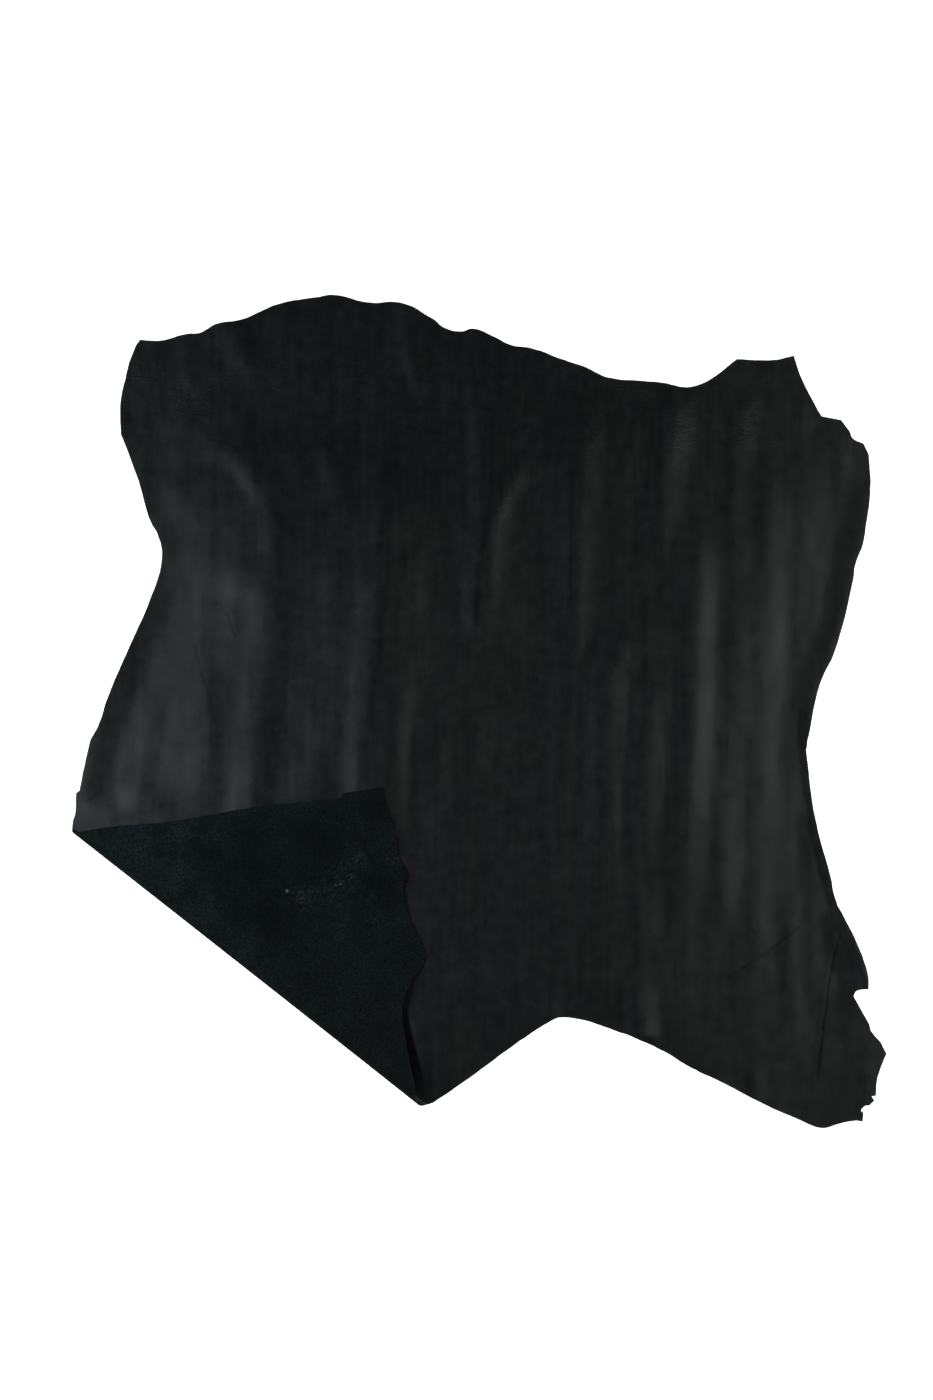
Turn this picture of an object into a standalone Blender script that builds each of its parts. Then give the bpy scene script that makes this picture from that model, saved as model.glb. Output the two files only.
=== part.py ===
"""A whole small hide lying grain side up, with its near left corner folded over on top.

Metres, +Z up. The origin is on the surface that the hide lies on, under the middle of its outline.
+Y points to the far edge and +X to the right. The flesh side is the surface that is shaped here,
and the leather's thickness grows from it towards the grain side.
"""

from collections import namedtuple

import bpy
import numpy as np
from mathutils import Vector
from mathutils.geometry import delaunay_2d_cdt, interpolate_bezier

MM = 0.001

# Driving dimensions
LEATHER = 1.3 * MM           # thickness of the finished hide
LAYER_GAP = 1.2 * MM         # air between the two layers where the corner lies on the hide
PRESSED = 45 * MM            # the waves lie flat within this distance of the fold
GRAIN_COLOUR = (0.008, 0.009, 0.009, 1.0)
GRAIN_ROUGHNESS = 0.45

# The fold: a straight line on the surface, and the roll that the leather makes along it
FOLD_START = (-559, -177)    # millimetres, at the hide's left side
FOLD_END = (-82, -552)       # millimetres, at the hide's near side
Roll = namedtuple("Roll", "along radius settle")
ROLLS = (                    # share of the fold's length; roll's outer radius and settling length, mm
    Roll(0.00, 5.0, 60),
    Roll(0.20, 4.2, 75),
    Roll(0.60, 4.5, 80),
    Roll(0.85, 6.0, 105),
    Roll(1.00, 8.5, 135),
)

# Mesh spacing
ACROSS_WAVES = 14 * MM       # along X, across most of the waves
ALONG_WAVES = 36 * MM        # along Y
ALONG_FOLD = 26 * MM
ROLL_STEPS = 6               # facets round the roll's half turn
ROLL_ROWS = range(-2, ROLL_STEPS + 4)         # rows of points along the roll and beside it
ROW_OVERRUN = 0.05           # how far those rows run past the fold's ends, as a share of its length
CLEAR_BEFORE = 20 * MM       # grid points keep out of the roll's rows: this far before the fold
CLEAR_PAST = 32 * MM         # and this far past it
EDGE_MARGIN = 7 * MM         # grid points keep this far from the cut edge
CURVE_STEPS = 2              # facets from one landmark to the next
SAME_POINT = 1e-6            # points closer than this are one, metres

# Landmarks of the cut edge, in millimetres. Between corners the edge is one soft curve.
Landmark = namedtuple("Landmark", "x y corner")
SOFT, CORNER = False, True

FAR_EDGE = (                 # left to right
    (-475, 520, CORNER), (-447, 519, SOFT), (-411, 528, SOFT), (-391, 530, SOFT), (-369, 542, SOFT),
    (-335, 548, SOFT), (-279, 571, SOFT), (-225, 580, CORNER), (-206, 583, SOFT), (-153, 572, SOFT),
    (-111, 572, SOFT), (-66, 550, SOFT), (-47, 536, SOFT), (-24, 532, SOFT), (-10, 536, SOFT),
    (15, 527, SOFT), (47, 512, SOFT), (71, 509, SOFT), (113, 494, SOFT), (148, 482, SOFT),
    (178, 468, SOFT), (222, 463, SOFT), (258, 460, SOFT), (290, 454, SOFT), (316, 461, SOFT),
    (360, 493, CORNER), (414, 492, SOFT), (440, 498, CORNER),
)
RIGHT_SIDE = (               # far to near
    (449, 471, SOFT), (472, 425, SOFT), (479, 413, CORNER), (506, 408, CORNER), (519, 391, CORNER),
    (522, 383, SOFT), (538, 375, CORNER), (545, 360, CORNER), (547, 313, SOFT), (541, 261, SOFT),
    (536, 233, SOFT), (526, 205, SOFT), (522, 180, SOFT), (495, 79, SOFT), (477, 40, SOFT),
    (461, -33, SOFT), (457, -54, CORNER), (471, -155, SOFT), (491, -230, SOFT), (501, -271, SOFT),
    (506, -280, CORNER), (521, -310, SOFT), (535, -341, CORNER), (543, -370, SOFT),
    (542, -385, CORNER), (526, -387, SOFT), (523, -394, CORNER), (545, -437, CORNER),
    (547, -446, CORNER), (561, -463, SOFT), (569, -478, CORNER), (557, -510, SOFT),
    (554, -537, CORNER), (548, -538, CORNER), (552, -544, CORNER), (545, -551, CORNER),
    (540, -551, CORNER), (534, -558, SOFT), (537, -561, CORNER), (536, -573, CORNER),
    (527, -572, CORNER), (505, -576, SOFT),
)
NEAR_EDGE = (                # right to left, up to the fold
    (480, -583, SOFT), (449, -572, SOFT), (393, -547, SOFT), (337, -518, SOFT), (295, -498, SOFT),
    (253, -473, SOFT), (197, -449, SOFT), (113, -428, SOFT), (101, -433, SOFT), (57, -461, SOFT),
    (1, -502, SOFT), (-55, -541, SOFT), (-66, -548, SOFT),
)
FOLDED_EDGE = (              # as it lies on top, from the near end of the fold round to the left end
    (-90, -530, SOFT), (-95, -502, SOFT), (-103, -456, SOFT), (-108, -420, SOFT), (-99, -383, SOFT),
    (-76, -344, SOFT), (-78, -334, SOFT), (-99, -285, SOFT), (-107, -243, SOFT), (-103, -229, SOFT),
    (-111, -208, SOFT), (-117, -166, SOFT), (-118, -152, SOFT), (-130, -135, SOFT), (-135, -106, CORNER),
    (-167, -111, SOFT), (-190, -114, CORNER), (-194, -122, CORNER), (-223, -125, SOFT),
    (-314, -134, SOFT), (-405, -150, SOFT), (-447, -156, SOFT), (-503, -160, SOFT), (-545, -166, SOFT),
)
LEFT_SIDE = (                # from the fold, near to far
    (-569, -155, SOFT), (-566, -145, SOFT), (-564, -114, CORNER), (-559, -110, CORNER), (-552, -75, SOFT),
    (-544, -41, CORNER), (-531, -15, SOFT), (-523, 10, CORNER), (-510, 44, SOFT), (-485, 100, SOFT),
    (-461, 156, SOFT), (-444, 218, SOFT), (-450, 247, SOFT), (-458, 261, SOFT), (-477, 323, CORNER),
    (-498, 379, SOFT), (-502, 388, CORNER), (-502, 436, SOFT), (-496, 464, SOFT), (-482, 509, SOFT),
)

# The main waves, in millimetres. The widths are those of the slopes on the crest's left and right
# hand, seen along it. A wave dies away over the two fade lengths at the crest's ends.
Wave = namedtuple("Wave", "name crest height left right fade_in fade_out")
WAVES = (
    Wave("left panel", ((-323, -166), (-313, -61), (-292, 79), (-285, 149), (-288, 233), (-292, 330),
                        (-300, 530)), 6.8, 215, 240, 110, 400),
    Wave("left panel's far half", ((-294, 40), (-286, 149), (-287, 233), (-290, 312)),
         4.2, 170, 260, 150, 130),
    Wave("left hem", ((-566, -140), (-558, -75), (-539, -5), (-512, 65), (-492, 112), (-470, 160),
                      (-454, 206)), 3.4, 20, 42, 40, 90),
    Wave("second panel", ((-160, -166), (-158, -82), (-152, 2), (-144, 86), (-136, 156), (-134, 240),
                          (-134, 310), (-138, 430)), 8, 130, 240, 110, 190),
    Wave("centre", ((-4, 79), (-2, 205), (5, 296), (6, 394), (2, 513)), 3.4, 30, 90, 60, 160),
    Wave("leaning", ((6, 60), (10, 149), (15, 219), (28, 282), (52, 328), (90, 362)), 1.5, 28, 34, 170, 60),
    Wave("near centre", ((-50, -348), (-38, -264), (-31, -194), (-29, -124)), 1.6, 60, 36, 60, 60),
    Wave("right of centre", ((108, -306), (113, -166), (121, -40), (128, 86), (133, 170), (136, 268),
                             (142, 366), (150, 443)), 2.4, 34, 38, 330, 80),
    Wave("hooked", ((170, -306), (174, -138), (174, -40), (171, 37), (181, 72), (208, 92), (246, 99)),
         3.1, 36, 42, 240, 60),
    Wave("short slant", ((218, -240), (222, -124), (230, -61), (236, 0), (232, 50)), 2.5, 32, 44, 90, 60),
    Wave("far right", ((252, 198), (252, 254), (256, 324), (267, 394), (277, 457)), 2.6, 32, 42, 90, 40),
    Wave("right plateau", ((284, -270), (290, -124), (293, -12), (297, 128), (302, 226), (309, 338)),
         3.0, 170, 115, 130, 130),
    Wave("first rib", ((280, -400), (284, -250), (290, -124), (295, -12), (301, 128), (307, 226),
                       (312, 338)), 2.1, 46, 42, 270, 190),
    Wave("first rib's middle", ((289, -180), (291, -124), (295, -12), (299, 90)), 0.9, 34, 40, 110, 80),
    Wave("low rib", ((333, -380), (338, -264), (343, -166), (351, -12), (364, 128), (364, 226),
                     (362, 300)), 1.25, 44, 36, 140, 60),
    Wave("second rib", ((384, -360), (387, -194), (389, -40), (396, 100), (402, 240), (407, 366)),
         1.35, 44, 44, 160, 80),
    Wave("second rib's far half", ((395, 20), (399, 160), (403, 260), (408, 380)), 2.1, 34, 42, 110, 80),
    Wave("third rib", ((441, 40), (443, 114), (446, 212), (453, 296), (461, 380)), 1.6, 40, 50, 90, 60),
    Wave("right edge", ((474, 30), (495, 86), (514, 142), (526, 205), (541, 268), (541, 338)),
         2.2, 38, 24, 60, 50),
    Wave("right hem", ((462, 20), (464, -60), (474, -140), (485, -196), (497, -240), (510, -290),
                       (528, -330), (540, -372), (534, -402), (552, -440), (578, -500)),
         2.8, 62, 17, 80, 60),
    Wave("far left crease", ((-393, 433), (-401, 457), (-408, 492), (-412, 534)), 1.3, 24, 24, 40, 5),
    Wave("far left corner", ((-308, 453), (-322, 489), (-339, 513), (-352, 552)), 2.0, 34, 30, 40, 5),
    Wave("far crease", ((-64, 436), (-79, 456), (-90, 484), (-97, 520), (-102, 576)), 2.6, 24, 26, 50, 5),
    Wave("cross wave", ((-55, -390), (1, -376), (71, -370), (169, -373), (225, -365)), 1.8, 30, 46, 60, 60),
    Wave("near edge", ((226, -463), (219, -404), (219, -327)), 2.6, 26, 38, 5, 90),
    Wave("far middle", ((40, 372), (140, 358), (240, 350)), 3.0, 110, 320, 80, 80),
    Wave("beside the folded corner", ((-66, -530), (-72, -470), (-80, -400), (-84, -340)),
         1.6, 60, 90, 20, 80),
)
FLAP_WAVES = (               # on the folded corner only
    Wave("lifted side", ((-113, -285), (-110, -250), (-106, -205)), 3, 44, 30, 30, 30),
    Wave("lifted near side", ((-84, -540), (-94, -500), (-104, -455), (-108, -415), (-98, -380),
                              (-80, -345)), 7, 80, 40, 50, 60),
)


def ease(share):
    """0 to 1 with a level start and a level end."""
    share = np.clip(share, 0.0, 1.0)
    return share * share * (3.0 - 2.0 * share)


def slope(share, foot=0.35, top=0.3):
    """0 to 1 in one even slope that is rounded at its foot and at its top."""
    share = np.clip(share, 0.0, 1.0)
    low = np.minimum(share, foot) ** 2 / (2.0 * foot)
    middle = np.clip(share - foot, 0.0, 1.0 - foot - top)
    left_over = np.clip(share - 1.0 + top, 0.0, top)
    high = left_over - left_over ** 2 / (2.0 * top)
    return (low + middle + high) / (1.0 - 0.5 * (foot + top))


def soft_curve(points, steps=5):
    """Points along a smooth curve through the given ones."""
    knots = [Vector(point) for point in points]
    before = [knots[0]] + knots[:-1]
    after = knots[1:] + [knots[-1]]
    pull = [(b - a) / 6 for a, b in zip(before, after)]
    curve = [knots[0]]
    for i in range(len(knots) - 1):
        start, end = knots[i], knots[i + 1]
        curve += interpolate_bezier(start, start + pull[i], end - pull[i + 1], end, steps + 1)[1:]
    return np.array([point[:2] for point in curve])


def wave_height(wave, places):
    """How high one wave lifts each place, in metres."""
    path = soft_curve([(x * MM, y * MM, 0.0) for x, y in wave.crest])
    steps = np.diff(path, axis=0)
    lengths = np.hypot(steps[:, 0], steps[:, 1])
    travelled = np.concatenate(([0.0], np.cumsum(lengths)))
    nearest = np.full(len(places), np.inf)
    aside = np.zeros(len(places))
    along = np.zeros(len(places))
    for start, step, length, run in zip(path, steps, lengths, travelled):
        offset = places - start
        share = np.clip((offset @ step) / length ** 2, 0.0, 1.0)
        gap = offset - share[:, None] * step
        distance = np.hypot(gap[:, 0], gap[:, 1])
        closer = distance < nearest
        hand = np.sign(step[1] * offset[:, 0] - step[0] * offset[:, 1])
        nearest = np.where(closer, distance, nearest)
        aside = np.where(closer, distance * hand, aside)
        along = np.where(closer, run + share * length, along)
    width = np.where(aside < 0, wave.left, wave.right) * MM
    ends = ease(along / (wave.fade_in * MM)) * ease((travelled[-1] - along) / (wave.fade_out * MM))
    return wave.height * MM * slope(1.0 - nearest / width) * ends


class Fold:
    """The straight fold: where a place is along it and past it, and the roll's size there."""

    def __init__(self):
        start = np.array(FOLD_START) * MM
        end = np.array(FOLD_END) * MM
        self.start = start
        self.length = np.hypot(*(end - start))
        self.along = (end - start) / self.length
        self.out = np.array([self.along[1], -self.along[0]])

    def measure(self, places):
        offset = places - self.start
        return offset @ self.along, offset @ self.out

    def place(self, along, past):
        return self.start + np.outer(along, self.along) + np.outer(past, self.out)

    def roll(self, along):
        shares = [row.along * self.length for row in ROLLS]
        radius = np.interp(along, shares, [row.radius * MM for row in ROLLS])
        settle = np.interp(along, shares, [row.settle * MM for row in ROLLS])
        return radius, settle

    def unfold(self, places):
        """The flat place of a point on the folded corner, from its place as it lies."""
        along, past = self.measure(places)
        radius = self.roll(along)[0]
        return self.place(along, -past + (np.pi - 2.0) * radius)


def lay(fold, flat):
    """Each point of the flat hide as it lies: in plan, and its height on the flesh side."""
    along, past = fold.measure(flat)
    radius, settle = fold.roll(along)
    turned = (past + radius) / radius
    over = past - (np.pi - 1.0) * radius
    in_roll = (turned > 0) & (turned < np.pi)
    on_top = over >= 0
    laid_past = np.where(in_roll, radius * (np.sin(turned) - 1.0), past)
    laid_past = np.where(on_top, -radius - over, laid_past)
    plan = fold.place(along, laid_past)
    waves = sum(wave_height(wave, plan) for wave in WAVES)
    waves = waves * ease((-laid_past - radius) / PRESSED)
    resting = 2.0 * LEATHER + LAYER_GAP
    folded = waves + resting + (2.0 * radius - resting) * (1.0 - ease(over / settle))
    folded += sum(wave_height(wave, plan) for wave in FLAP_WAVES)
    height = np.where(in_roll, radius * (1.0 - np.cos(turned)), waves)
    height = np.where(on_top, folded, height)
    return np.column_stack((plan, height))


def cut_outline(fold):
    """The flat hide's edge as points in anticlockwise order, from a curve through the landmarks."""
    landmarks = []
    for run in (FAR_EDGE, RIGHT_SIDE, NEAR_EDGE, FOLDED_EDGE, LEFT_SIDE):
        for landmark in (Landmark(*row) for row in run):
            place = np.array([[landmark.x, landmark.y]]) * MM
            if run is FOLDED_EDGE:
                place = fold.unfold(place)
            landmarks.append((place[0], landmark.corner))
    curve = bpy.data.curves.new("cut edge", "CURVE")
    curve.dimensions = "2D"
    curve.fill_mode = "NONE"
    curve.resolution_u = CURVE_STEPS
    spline = curve.splines.new("BEZIER")
    spline.bezier_points.add(len(landmarks) - 1)
    spline.use_cyclic_u = True
    for point, (place, corner) in zip(spline.bezier_points, landmarks):
        point.co = (*place, 0.0)
        point.handle_left_type = "VECTOR" if corner else "AUTO"
        point.handle_right_type = "VECTOR" if corner else "AUTO"
    guide = bpy.data.objects.new("cut edge", curve)
    bpy.context.scene.collection.objects.link(guide)
    bpy.context.view_layer.update()
    mesh = bpy.data.meshes.new_from_object(guide.evaluated_get(bpy.context.evaluated_depsgraph_get()))
    points = np.array([vertex.co[:2] for vertex in mesh.vertices])[::-1]
    bpy.data.objects.remove(guide)
    bpy.data.curves.remove(curve)
    bpy.data.meshes.remove(mesh)
    return points


def distance_to_edge(places, outline):
    """Distance from each place to the outline, positive inside it."""
    ends = np.roll(outline, -1, axis=0)
    nearest = np.full(len(places), np.inf)
    inside = np.zeros(len(places), dtype=bool)
    for start, end in zip(outline, ends):
        step = end - start
        offset = places - start
        share = np.clip((offset @ step) / (step @ step), 0.0, 1.0)
        gap = offset - share[:, None] * step
        nearest = np.minimum(nearest, np.hypot(gap[:, 0], gap[:, 1]))
        crosses = (start[1] > places[:, 1]) != (end[1] > places[:, 1])
        rise = step[1] if step[1] else 1.0
        meets = start[0] + (places[:, 1] - start[1]) * step[0] / rise
        inside ^= crosses & (places[:, 0] < meets)
    return np.where(inside, nearest, -nearest)


def staggered_grid(outline):
    """Even points over the outline's box, every second row shifted by half a step."""
    low, high = outline.min(axis=0), outline.max(axis=0)
    rows = np.arange(low[1], high[1], ALONG_WAVES)
    columns = np.arange(low[0], high[0], ACROSS_WAVES)
    return np.array([
        (x + 0.5 * ACROSS_WAVES * (number % 2), y) for number, y in enumerate(rows) for x in columns
    ])


def roll_rows(fold):
    """Rows of points along the fold, one for each facet of the roll and some beside it each way."""
    start, end = -ROW_OVERRUN * fold.length, (1.0 + ROW_OVERRUN) * fold.length
    along = np.linspace(start, end, round((end - start) / ALONG_FOLD))
    radius = fold.roll(along)[0]
    arc = np.pi * radius / ROLL_STEPS
    return [fold.place(along, -radius + row * arc) for row in ROLL_ROWS]


def flat_sheet(fold):
    """Triangles over the flat hide: the outline, rows along the roll and an even grid elsewhere."""
    outline = cut_outline(fold)
    rows = roll_rows(fold)
    grid = staggered_grid(outline)
    past = fold.measure(grid)[1]
    off_roll = (past < -CLEAR_BEFORE) | (past > CLEAR_PAST)
    grid = grid[off_roll & (distance_to_edge(grid, outline) > EDGE_MARGIN)]
    points = list(outline)
    edges = [(i, (i + 1) % len(outline)) for i in range(len(outline))]
    for row in rows:
        first = len(points)
        points += list(row)
        edges += [(first + i, first + i + 1) for i in range(len(row) - 1)]
    points += list(grid)
    face = list(range(len(outline)))
    made = delaunay_2d_cdt([Vector(point) for point in points], edges, [face], 0, SAME_POINT)
    places = np.array([place[:] for place in made[0]])
    triangles = np.array([triangle for triangle, source in zip(made[2], made[5]) if source])
    used = np.unique(triangles)
    number = np.zeros(len(places), dtype=int)
    number[used] = np.arange(len(used))
    return places[used], number[triangles]


def leather_material():
    material = bpy.data.materials.new("black grain leather")
    material.use_nodes = True
    shader = material.node_tree.nodes["Principled BSDF"]
    shader.inputs["Base Color"].default_value = GRAIN_COLOUR
    shader.inputs["Roughness"].default_value = GRAIN_ROUGHNESS
    return material


def build_hide(collection):
    fold = Fold()
    flat, triangles = flat_sheet(fold)
    mesh = bpy.data.meshes.new("hide")
    mesh.from_pydata(lay(fold, flat).tolist(), [], triangles.tolist())
    mesh.materials.append(leather_material())
    mesh.shade_smooth()
    hide = bpy.data.objects.new("hide", mesh)
    collection.objects.link(hide)
    thickness = hide.modifiers.new("leather thickness", "SOLIDIFY")
    thickness.thickness = LEATHER
    thickness.offset = 1.0
    thickness.use_even_offset = True
    return hide


def main():
    for old in list(bpy.data.objects):
        bpy.data.objects.remove(old, do_unlink=True)
    collection = bpy.data.collections.new("folded leather hide")
    bpy.context.scene.collection.children.link(collection)
    build_hide(collection)


main()
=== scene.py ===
"""The looks of a whole black hide that lies grain side up with its near left corner folded over.

Metres, +Z up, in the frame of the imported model. The origin is on the surface that the hide lies
on, under the middle of its outline. +Y points to the far edge and +X to the right.
"""

from collections import namedtuple
from math import radians

import bpy
import numpy as np
from bpy.props import FloatProperty, FloatVectorProperty, IntProperty, PointerProperty
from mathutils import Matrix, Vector, noise
from mathutils.geometry import delaunay_2d_cdt, interpolate_bezier
from mathutils.kdtree import KDTree


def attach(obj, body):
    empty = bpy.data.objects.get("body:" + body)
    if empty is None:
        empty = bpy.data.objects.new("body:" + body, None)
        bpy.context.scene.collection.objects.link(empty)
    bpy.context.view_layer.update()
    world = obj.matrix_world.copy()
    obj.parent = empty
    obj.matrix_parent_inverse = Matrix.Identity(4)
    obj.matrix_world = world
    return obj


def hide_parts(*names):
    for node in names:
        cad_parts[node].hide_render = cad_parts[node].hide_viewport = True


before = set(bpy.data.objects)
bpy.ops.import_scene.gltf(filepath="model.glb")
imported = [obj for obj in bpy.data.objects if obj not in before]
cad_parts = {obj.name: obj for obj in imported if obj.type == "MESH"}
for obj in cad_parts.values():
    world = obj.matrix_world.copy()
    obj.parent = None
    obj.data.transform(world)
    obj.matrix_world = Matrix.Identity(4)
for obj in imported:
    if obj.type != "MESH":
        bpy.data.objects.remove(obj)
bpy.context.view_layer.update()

bl_info = {
    "name": "Folded leather hide",
    "version": (1, 0, 0),
    "blender": (4, 5, 0),
    "location": "View3D > Sidebar > Hide",
    "description": "Makes a whole hide with one corner folded over, and the stage that it lies on",
    "category": "Object",
}

MM = 0.001

# The fold: a straight line on the surface, and the roll that the leather makes along it
FOLD_START = (-559, -177)    # millimetres, at the hide's left side
FOLD_END = (-82, -552)       # millimetres, at the hide's near side
Roll = namedtuple("Roll", "along radius settle")
ROLLS = (                    # share of the fold's length; roll's outer radius and settling length, mm
    Roll(0.00, 5.0, 60),
    Roll(0.20, 4.2, 75),
    Roll(0.60, 4.5, 80),
    Roll(0.85, 6.0, 105),
    Roll(1.00, 8.5, 135),
)

# Landmarks of the cut edge, in millimetres. Between corners the edge is one soft curve.
Landmark = namedtuple("Landmark", "x y corner")
SOFT, CORNER = False, True

FAR_EDGE = (                 # left to right
    (-475, 520, CORNER), (-447, 519, SOFT), (-411, 528, SOFT), (-391, 530, SOFT), (-369, 542, SOFT),
    (-335, 548, SOFT), (-279, 571, SOFT), (-225, 580, CORNER), (-206, 583, SOFT), (-153, 572, SOFT),
    (-111, 572, SOFT), (-66, 550, SOFT), (-47, 536, SOFT), (-24, 532, SOFT), (-10, 536, SOFT),
    (15, 527, SOFT), (47, 512, SOFT), (71, 509, SOFT), (113, 494, SOFT), (148, 482, SOFT),
    (178, 468, SOFT), (222, 463, SOFT), (258, 460, SOFT), (290, 454, SOFT), (316, 461, SOFT),
    (360, 493, CORNER), (414, 492, SOFT), (440, 498, CORNER),
)
RIGHT_SIDE = (               # far to near
    (449, 471, SOFT), (472, 425, SOFT), (479, 413, CORNER), (506, 408, CORNER), (519, 391, CORNER),
    (522, 383, SOFT), (538, 375, CORNER), (545, 360, CORNER), (547, 313, SOFT), (541, 261, SOFT),
    (536, 233, SOFT), (526, 205, SOFT), (522, 180, SOFT), (495, 79, SOFT), (477, 40, SOFT),
    (461, -33, SOFT), (457, -54, CORNER), (471, -155, SOFT), (491, -230, SOFT), (501, -271, SOFT),
    (506, -280, CORNER), (521, -310, SOFT), (535, -341, CORNER), (543, -370, SOFT),
    (543, -388, CORNER), (527, -391, SOFT), (523, -398, CORNER), (545, -437, CORNER),
    (547, -446, CORNER), (561, -463, SOFT), (569, -478, CORNER), (557, -510, SOFT),
    (554, -537, CORNER), (548, -538, CORNER), (552, -544, CORNER), (545, -551, CORNER),
    (540, -551, CORNER), (534, -558, SOFT), (537, -561, CORNER), (536, -573, CORNER),
    (527, -572, CORNER), (505, -576, SOFT),
)
NEAR_EDGE = (                # right to left, up to the fold
    (480, -583, SOFT), (449, -572, SOFT), (393, -547, SOFT), (337, -518, SOFT), (295, -498, SOFT),
    (253, -473, SOFT), (197, -449, SOFT), (113, -428, SOFT), (101, -433, SOFT), (57, -461, SOFT),
    (1, -502, SOFT), (-55, -541, SOFT), (-66, -548, SOFT),
)
FOLDED_EDGE = (              # as it lies on top, from the near end of the fold round to the left end
    (-90, -530, SOFT), (-95, -502, SOFT), (-103, -456, SOFT), (-108, -420, SOFT), (-99, -383, SOFT),
    (-76, -344, SOFT), (-78, -334, SOFT), (-99, -285, SOFT), (-107, -243, SOFT), (-103, -229, SOFT),
    (-111, -208, SOFT), (-117, -166, SOFT), (-118, -152, SOFT), (-130, -135, SOFT),
    (-135, -106, CORNER),
    (-167, -111, SOFT), (-190, -114, CORNER), (-194, -122, CORNER), (-223, -125, SOFT),
    (-314, -134, SOFT), (-405, -150, SOFT), (-447, -156, SOFT), (-503, -160, SOFT), (-545, -166, SOFT),
)
LEFT_SIDE = (                # from the fold, near to far
    (-569, -155, SOFT), (-566, -145, SOFT), (-564, -114, CORNER), (-559, -110, CORNER),
    (-552, -75, SOFT),
    (-544, -41, CORNER), (-531, -15, SOFT), (-523, 10, CORNER), (-510, 44, SOFT), (-485, 100, SOFT),
    (-461, 156, SOFT), (-444, 218, SOFT), (-450, 247, SOFT), (-458, 261, SOFT), (-477, 323, CORNER),
    (-498, 379, SOFT), (-502, 388, CORNER), (-502, 436, SOFT), (-496, 464, SOFT), (-482, 509, SOFT),
)

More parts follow.
